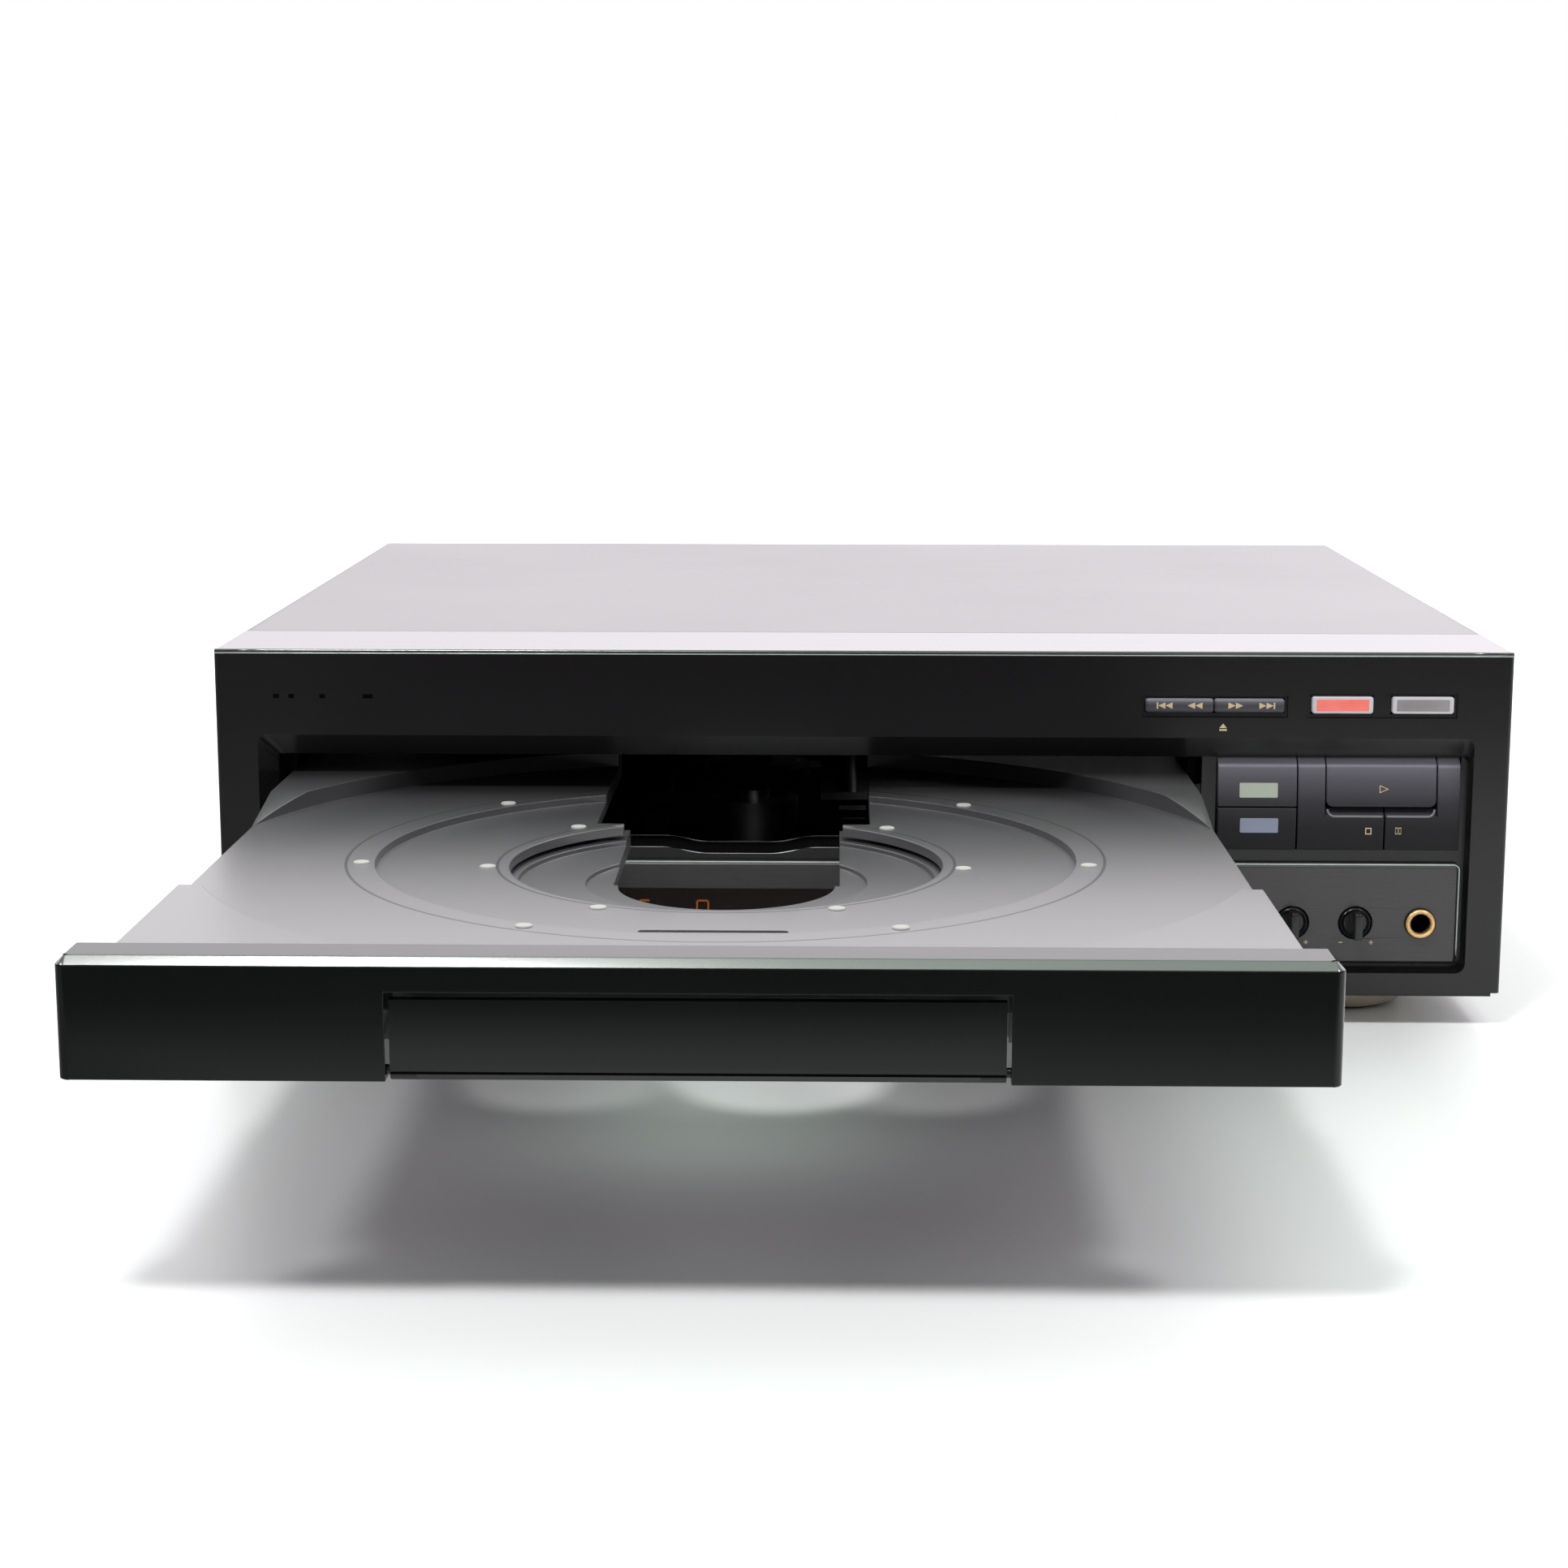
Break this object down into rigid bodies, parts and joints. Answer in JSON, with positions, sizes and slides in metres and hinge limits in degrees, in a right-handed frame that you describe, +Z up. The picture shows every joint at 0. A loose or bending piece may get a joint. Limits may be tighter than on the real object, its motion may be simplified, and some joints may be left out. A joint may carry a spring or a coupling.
{
  "type": "laserdisc player",
  "caption": "Laserdisc player with a large disc tray run out, a small disc tray under it behind a hinged flap, keys, knobs and a display window.",
  "frame": {"origin": "middle of the whole part's length, with the large tray out, on the player's middle plane, at the floor", "axes": "+X to the right as seen from the front, +Y to the back of the player, +Z up"},
  "size_m": [0.42, 0.624, 0.125],
  "materials": {
    "case_black": "satin, fine grain",
    "panel_black": "satin with fine horizontal brushing",
    "door_black": "gloss",
    "tray_grey": "satin",
    "pad_cream": "matt",
    "smoked_window": "gloss, tinted",
    "key_slate": "semi-gloss",
    "key_red": "clear plastic lit red",
    "key_clear": "clear grey plastic",
    "knob_black": "gloss",
    "gilt": "polished, gilt",
    "foot_champagne": "satin",
    "foot_black": "satin",
    "pad_black": "matt",
    "zinc_steel": "zinc plated",
    "rear_black": "satin",
    "frame_black": "satin",
    "gear_white": "satin",
    "motor_steel": "satin",
    "core_steel": "satin",
    "heat_sink_alu": "satin",
    "board_green": "satin",
    "tube_glass": "gloss",
    "lens_glass": "gloss"
  },
  "bodies": {
    "case": {"top_cover": "case_black", "front_panel": "panel_black", "lower_panel": "panel_black", "display_window": "smoked_window", "sensor_windows": "smoked_window", "mic_jack": "gilt", "phono_jacks": "gilt", "front_feet": "foot_champagne", "rear_feet": "foot_black", "foot_pads": "pad_black", "chassis_base": "zinc_steel", "clamp_bridge": "zinc_steel", "rear_panel": "rear_black", "cover_screws": "rear_black", "mechanism_frame": "frame_black", "jack_block": "frame_black", "ac_inlet": "frame_black", "loading_belt": "frame_black", "loading_motor": "motor_steel", "power_transformer": "core_steel", "heat_sink": "heat_sink_alu", "main_board": "board_green", "power_board": "board_green", "front_board": "board_green", "display_board": "board_green", "control_pots": "board_green", "display_tube": "tube_glass"},
    "large_tray": {"ld_tray": "tray_grey", "tray_channels": "tray_grey", "outer_pads": "pad_cream", "inner_pads": "pad_cream", "tray_rack": "frame_black", "tray_door": "door_black"},
    "small_tray": {"cd_tray": "tray_grey"},
    "flap": {"cd_flap": "door_black"},
    "rack_wheel": {"loading_gear": "gear_white"},
    "belt_wheel": {"belt_gear": "gear_white"},
    "pulley": {"motor_pulley": "gear_white"},
    "deck": {"lift_deck": "frame_black", "guide_rods": "zinc_steel", "spindle_motor": "motor_steel", "feed_motor": "motor_steel"},
    "turntable_body": {"turntable": "gear_white"},
    "carriage": {"pickup_carriage": "frame_black", "pickup_lens": "lens_glass"},
    "feed_wheel": {"feed_gear": "gear_white"},
    "clamp": {"disc_clamp": "frame_black"},
    "disc_key_body": {"disc_key": "key_slate"},
    "small_disc_key_body": {"small_disc_key": "key_slate"},
    "play_key_body": {"play_key": "key_slate"},
    "stop_key_body": {"stop_key": "key_slate"},
    "pause_key_body": {"pause_key": "key_slate"},
    "skip_back_key_body": {"skip_back_key": "key_slate"},
    "skip_forward_key_body": {"skip_forward_key": "key_slate"},
    "side_one_key_body": {"side_one_key": "key_red"},
    "side_two_key_body": {"side_two_key": "key_clear"},
    "power_key_body": {"power_key": "key_slate"},
    "echo_knob_body": {"echo_knob": "knob_black"},
    "mic_knob_body": {"mic_knob": "knob_black"}
  },
  "joints": [
    {"name": "large_tray_slide", "type": "slide", "parent": "case", "child": "large_tray", "axis": [0, 1, 0], "range_m": [0, 0.272]},
    {"name": "small_tray_slide", "type": "slide", "parent": "large_tray", "child": "small_tray", "axis": [0, -1, 0], "range_m": [0, 0.13]},
    {"name": "flap_hinge", "type": "hinge", "parent": "large_tray", "child": "flap", "pos_m": [-0.0399, -0.3096, 0.061], "axis": [1, 0, 0], "range_deg": [0, 96]},
    {"name": "rack_wheel_spin", "type": "hinge", "parent": "case", "child": "rack_wheel", "pos_m": [0.0701, 0.007, 0.06], "axis": [0, 0, 1], "range_deg": [0, 1305]},
    {"name": "belt_wheel_spin", "type": "hinge", "parent": "case", "child": "belt_wheel", "pos_m": [0.0461, 0.01937, 0.055], "axis": [0, 0, 1], "range_deg": [-3720, 0]},
    {"name": "pulley_spin", "type": "hinge", "parent": "case", "child": "pulley", "pos_m": [0.0121, 0.01937, 0.05], "axis": [0, 0, 1], "range_deg": [-13100, 0]},
    {"name": "deck_lift", "type": "slide", "parent": "case", "child": "deck", "axis": [0, 0, 1], "range_m": [0, 0.0257]},
    {"name": "turntable_spin", "type": "hinge", "parent": "deck", "child": "turntable_body", "pos_m": [-0.0399, 0.1312, 0.057], "axis": [0, 0, 1], "continuous": true},
    {"name": "carriage_slide", "type": "slide", "parent": "deck", "child": "carriage", "axis": [0, 1, 0], "range_m": [0, 0.118]},
    {"name": "feed_wheel_spin", "type": "hinge", "parent": "deck", "child": "feed_wheel", "pos_m": [0.0181, 0.1644, 0.033], "axis": [0, 0, 1], "range_deg": [-848, 0]},
    {"name": "clamp_spin", "type": "hinge", "parent": "case", "child": "clamp", "pos_m": [-0.0399, 0.1312, 0.092], "axis": [0, 0, 1], "continuous": true},
    {"name": "disc_key_press", "type": "slide", "parent": "case", "child": "disc_key_body", "axis": [0, 1, 0], "range_m": [0, 0.0012], "stiffness_N_per_m": 220, "springref_m": -0.003},
    {"name": "small_disc_key_press", "type": "slide", "parent": "case", "child": "small_disc_key_body", "axis": [0, 1, 0], "range_m": [0, 0.0012], "stiffness_N_per_m": 220, "springref_m": -0.003},
    {"name": "play_key_press", "type": "slide", "parent": "case", "child": "play_key_body", "axis": [0, 1, 0], "range_m": [0, 0.0012], "stiffness_N_per_m": 220, "springref_m": -0.003},
    {"name": "stop_key_press", "type": "slide", "parent": "case", "child": "stop_key_body", "axis": [0, 1, 0], "range_m": [0, 0.0012], "stiffness_N_per_m": 220, "springref_m": -0.003},
    {"name": "pause_key_press", "type": "slide", "parent": "case", "child": "pause_key_body", "axis": [0, 1, 0], "range_m": [0, 0.0012], "stiffness_N_per_m": 220, "springref_m": -0.003},
    {"name": "skip_back_key_press", "type": "slide", "parent": "case", "child": "skip_back_key_body", "axis": [0, 1, 0], "range_m": [0, 0.001], "stiffness_N_per_m": 220, "springref_m": -0.003},
    {"name": "skip_forward_key_press", "type": "slide", "parent": "case", "child": "skip_forward_key_body", "axis": [0, 1, 0], "range_m": [0, 0.001], "stiffness_N_per_m": 220, "springref_m": -0.003},
    {"name": "side_one_key_press", "type": "slide", "parent": "case", "child": "side_one_key_body", "axis": [0, 1, 0], "range_m": [0, 0.001], "stiffness_N_per_m": 220, "springref_m": -0.003},
    {"name": "side_two_key_press", "type": "slide", "parent": "case", "child": "side_two_key_body", "axis": [0, 1, 0], "range_m": [0, 0.001], "stiffness_N_per_m": 220, "springref_m": -0.003},
    {"name": "power_key_press", "type": "slide", "parent": "case", "child": "power_key_body", "axis": [0, 1, 0], "range_m": [0, 0.0025], "stiffness_N_per_m": 300, "springref_m": -0.003},
    {"name": "echo_knob_turn", "type": "hinge", "parent": "case", "child": "echo_knob_body", "pos_m": [0.1418, -0.04, 0.03435], "axis": [0, 1, 0], "range_deg": [-140, 140]},
    {"name": "mic_knob_turn", "type": "hinge", "parent": "case", "child": "mic_knob_body", "pos_m": [0.1625, -0.04, 0.03435], "axis": [0, 1, 0], "range_deg": [-140, 140]}
  ],
  "couplings": [
    {"joint": "rack_wheel_spin", "follows": "large_tray_slide", "rad_per_m": 83.333},
    {"joint": "belt_wheel_spin", "follows": "large_tray_slide", "rad_per_m": -238.1},
    {"joint": "pulley_spin", "follows": "large_tray_slide", "rad_per_m": -837.97},
    {"joint": "flap_hinge", "follows": "small_tray_slide", "rad_per_m": 12.754},
    {"joint": "feed_wheel_spin", "follows": "carriage_slide", "rad_per_m": -125}
  ]
}
